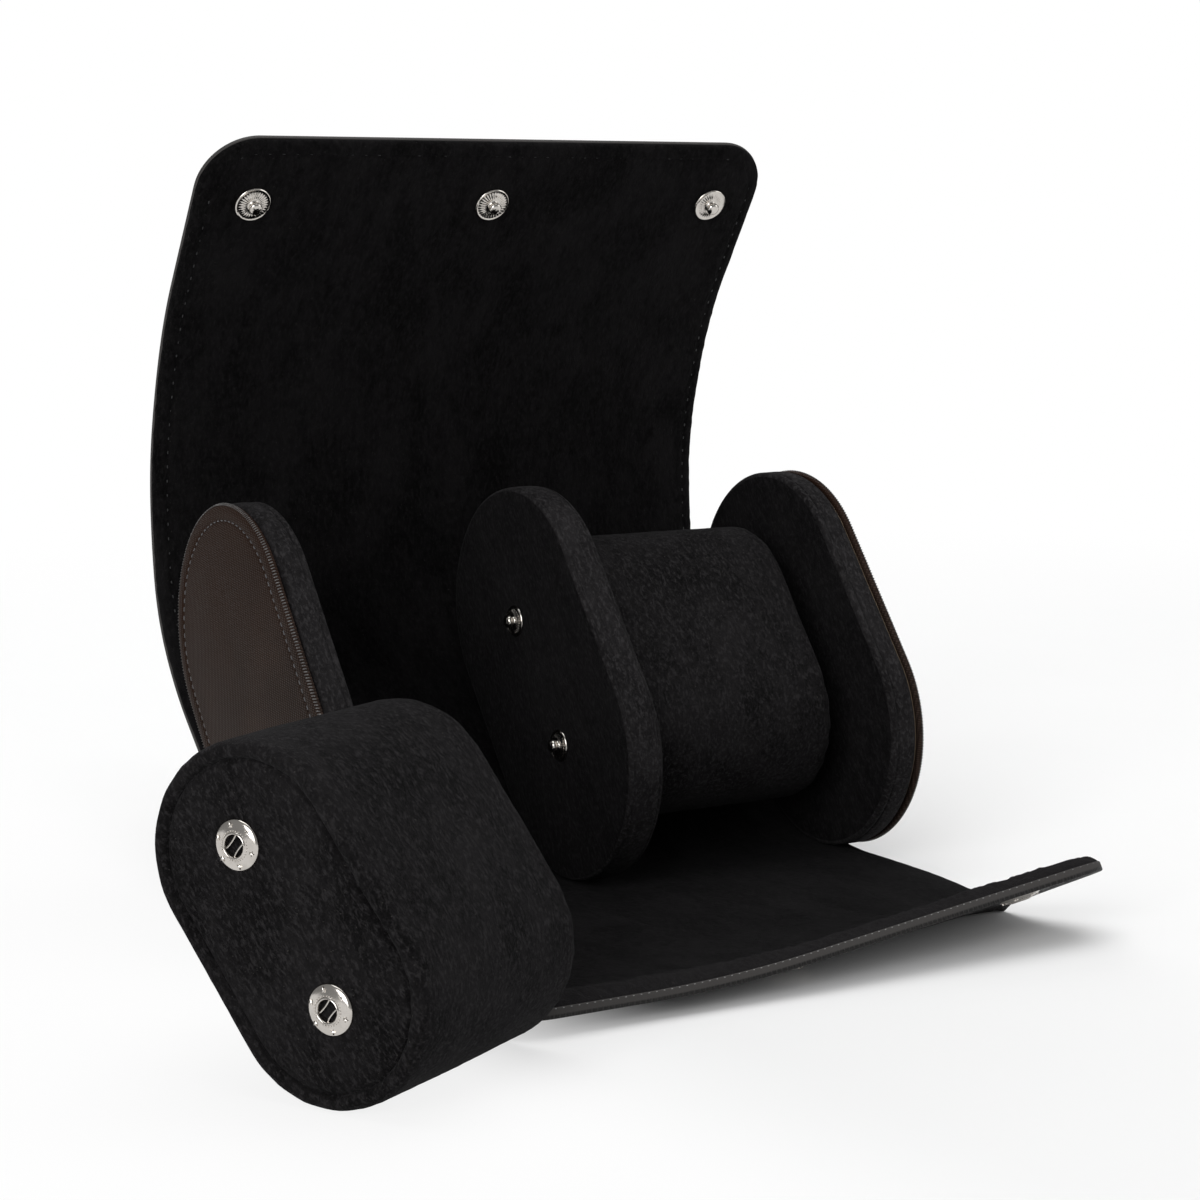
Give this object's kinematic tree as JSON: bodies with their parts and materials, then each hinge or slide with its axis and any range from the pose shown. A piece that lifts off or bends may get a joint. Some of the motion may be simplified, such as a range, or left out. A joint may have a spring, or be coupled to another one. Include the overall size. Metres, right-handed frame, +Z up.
{
  "type": "watch travel case",
  "caption": "Roll case of black leather and suede, open, with padded ends, a divider, press studs and two removable cushions.",
  "frame": {"origin": "on the table, on the flat foot of the wrap, under the lower round end of the divider, halfway along the case", "axes": "+X along the case to the right of a user at the front, +Y to the back, +Z up"},
  "size_m": [0.2337, 0.2234, 0.1888],
  "materials": {
    "outer_leather": "fine cross-hatched black leather, satin",
    "suede": "black suede with a short soft nap",
    "snap_metal": "polished nickel plate",
    "stiff_board": "grey-brown fibre board",
    "foam": "pale cut foam"
  },
  "bodies": {
    "case": {"wrap_base_leather": "outer_leather", "wrap_base_lining": "suede", "left_end_leather": "outer_leather", "left_end_board": "stiff_board", "left_end_pad": "foam", "left_end_suede": "suede", "right_end_leather": "outer_leather", "right_end_board": "stiff_board", "right_end_pad": "foam", "right_end_suede": "suede", "divider_board": "stiff_board", "divider_left_pad": "foam", "divider_right_pad": "foam", "divider_left_face": "suede", "divider_right_face": "suede", "divider_rim": "suede", "divider_left_studs": "snap_metal", "divider_right_studs": "snap_metal"},
    "top_1": {"top_leather_1": "outer_leather", "top_lining_1": "suede"},
    "top_2": {"top_leather_2": "outer_leather", "top_lining_2": "suede"},
    "top_3": {"top_leather_3": "outer_leather", "top_lining_3": "suede"},
    "top_4": {"top_leather_4": "outer_leather", "top_lining_4": "suede"},
    "top_5": {"top_leather_5": "outer_leather", "top_lining_5": "suede"},
    "top_6": {"top_leather_6": "outer_leather", "top_lining_6": "suede"},
    "top_7": {"top_leather_7": "outer_leather", "top_lining_7": "suede", "top_studs": "snap_metal"},
    "front_1": {"front_leather_1": "outer_leather", "front_lining_1": "suede"},
    "front_2": {"front_leather_2": "outer_leather", "front_lining_2": "suede"},
    "front_3": {"front_leather_3": "outer_leather", "front_lining_3": "suede"},
    "front_4": {"front_leather_4": "outer_leather", "front_lining_4": "suede", "front_sockets": "snap_metal"},
    "front_corner": {"corner_leather": "outer_leather", "corner_lining": "suede", "corner_socket": "snap_metal"},
    "seated_cushion": {"seated_foam": "foam", "seated_sleeve": "suede", "seated_socket_face": "suede", "seated_plain_face": "suede", "seated_board": "stiff_board", "seated_sockets": "snap_metal"},
    "loose_cushion": {"loose_foam": "foam", "loose_sleeve": "suede", "loose_socket_face": "suede", "loose_plain_face": "suede", "loose_board": "stiff_board", "loose_sockets": "snap_metal"}
  },
  "joints": [
    {"name": "top_root", "type": "hinge", "parent": "case", "child": "top_1", "pos_m": [0, 0.03026, 0.02216], "axis": [1, 0, 0], "range_deg": [-5, 9.31]},
    {"name": "top_flap", "type": "hinge", "parent": "top_1", "child": "top_2", "pos_m": [0, 0.06189, 0.05135], "axis": [1, 0, 0], "range_deg": [-8, 14.9]},
    {"name": "top_bend_3", "type": "hinge", "parent": "top_2", "child": "top_3", "pos_m": [0, 0.07217, 0.06767], "axis": [1, 0, 0], "range_deg": [-3.39, 6.31]},
    {"name": "top_bend_4", "type": "hinge", "parent": "top_3", "child": "top_4", "pos_m": [0, 0.07502, 0.08675], "axis": [1, 0, 0], "range_deg": [-11.55, 21.51]},
    {"name": "top_bend_5", "type": "hinge", "parent": "top_4", "child": "top_5", "pos_m": [0, 0.07502, 0.10603], "axis": [1, 0, 0], "range_deg": [-8.76, 16.31]},
    {"name": "top_bend_6", "type": "hinge", "parent": "top_5", "child": "top_6", "pos_m": [0, 0.07045, 0.12477], "axis": [1, 0, 0], "range_deg": [-12.25, 22.81]},
    {"name": "top_bend_7", "type": "hinge", "parent": "top_6", "child": "top_7", "pos_m": [0, 0.06357, 0.14279], "axis": [1, 0, 0], "range_deg": [-9.57, 17.81]},
    {"name": "front_flap", "type": "hinge", "parent": "case", "child": "front_1", "pos_m": [0, -0.00986, 0.0036], "axis": [-1, 0, 0], "range_deg": [0, 32]},
    {"name": "front_bend_2", "type": "hinge", "parent": "front_1", "child": "front_2", "pos_m": [0, -0.02862, 0.0036], "axis": [-1, 0, 0], "range_deg": [0, 32.01]},
    {"name": "front_bend_3", "type": "hinge", "parent": "front_2", "child": "front_3", "pos_m": [0, -0.04737, 0.0036], "axis": [-1, 0, 0], "range_deg": [0, 32.01]},
    {"name": "front_bend_4", "type": "hinge", "parent": "front_3", "child": "front_4", "pos_m": [0, -0.06612, 0.0036], "axis": [-1, 0, 0], "range_deg": [0, 25.51]},
    {"name": "front_corner", "type": "hinge", "parent": "front_4", "child": "front_corner", "pos_m": [-0.02, -0.10525, 0.00806], "axis": [0.9389, 0.3419, -0.039], "range_deg": [0, 21.01]},
    {"name": "seated_cushion_unsnap", "type": "slide", "parent": "case", "child": "seated_cushion", "axis": [1, 0, 0], "range_m": [0, 0.009]},
    {"name": "loose_cushion_lift", "type": "slide", "parent": "case", "child": "loose_cushion", "axis": [0, 0, 1], "range_m": [0, 0.1]}
  ],
  "couplings": [
    {"joint": "top_root", "follows": "top_flap", "ratio": 0.62416},
    {"joint": "top_bend_3", "follows": "top_flap", "ratio": 0.42282},
    {"joint": "top_bend_4", "follows": "top_flap", "ratio": 1.443},
    {"joint": "top_bend_5", "follows": "top_flap", "ratio": 1.094},
    {"joint": "top_bend_6", "follows": "top_flap", "ratio": 1.5302},
    {"joint": "top_bend_7", "follows": "top_flap", "ratio": 1.1946},
    {"joint": "front_bend_2", "follows": "front_flap", "ratio": 1},
    {"joint": "front_bend_3", "follows": "front_flap", "ratio": 1},
    {"joint": "front_bend_4", "follows": "front_flap", "ratio": 0.79688},
    {"joint": "front_corner", "follows": "front_flap", "ratio": 0.65625}
  ]
}
